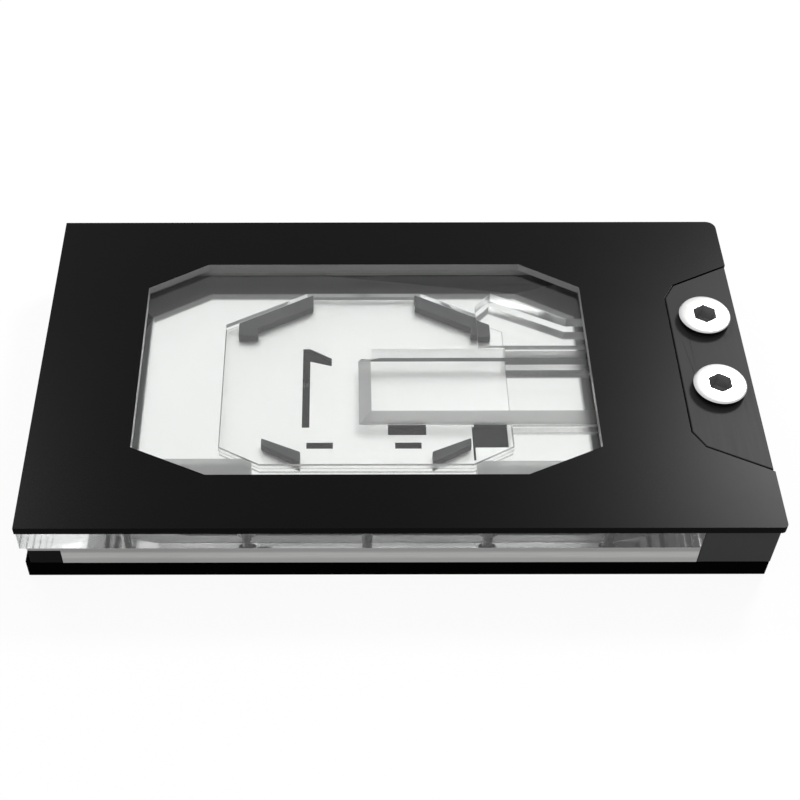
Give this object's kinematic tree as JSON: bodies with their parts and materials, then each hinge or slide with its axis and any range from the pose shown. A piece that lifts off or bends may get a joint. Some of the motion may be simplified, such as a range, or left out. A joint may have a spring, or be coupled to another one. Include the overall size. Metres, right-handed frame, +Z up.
{
  "type": "liquid cooling cold plate",
  "caption": "Flat liquid cold plate for a processor card: nickel-plated copper under a clear top, windowed black cover, black end block with two plugged ports.",
  "frame": {"origin": "centre of the footprint, on the face that stands on the card", "axes": "+X towards the end block with the ports, +Y to the back edge, +Z up towards the window"},
  "size_m": [0.245, 0.1414, 0.0314],
  "materials": {
    "cover_black": "black anodised, satin",
    "clear_acrylic": "clear, polished",
    "nickel_plate": "nickel-plated copper, polished",
    "bright_steel": "polished",
    "black_acetal": "satin",
    "terminal_black": "satin",
    "frame_black": "satin",
    "seal_rubber": "matt",
    "plug_metal": "bright turned",
    "screw_steel": "zinc plated",
    "standoff_brass": "turned",
    "thermal_pad": "soft, matt"
  },
  "bodies": {
    "root": {"cover": "cover_black", "clear_top": "clear_acrylic", "base_plate": "nickel_plate", "jet_plate": "bright_steel", "jet_insert": "black_acetal", "clamp_back_left": "black_acetal", "clamp_back_right": "black_acetal", "clamp_front_left": "black_acetal", "clamp_front_right": "black_acetal", "chamber_seal": "seal_rubber", "terminal_block": "terminal_black", "block_gasket": "seal_rubber", "plug_inlet": "plug_metal", "plug_outlet": "plug_metal", "plug_seal_inlet": "seal_rubber", "plug_seal_outlet": "seal_rubber", "mounting_frame": "frame_black", "corner_block": "black_acetal", "top_screws": "screw_steel", "cover_screws": "screw_steel", "standoffs": "standoff_brass", "pad_memory_left": "thermal_pad", "pad_memory_right": "thermal_pad", "pad_memory_back": "thermal_pad", "pad_power_left": "thermal_pad", "pad_power_right": "thermal_pad"}
  },
  "joints": []
}
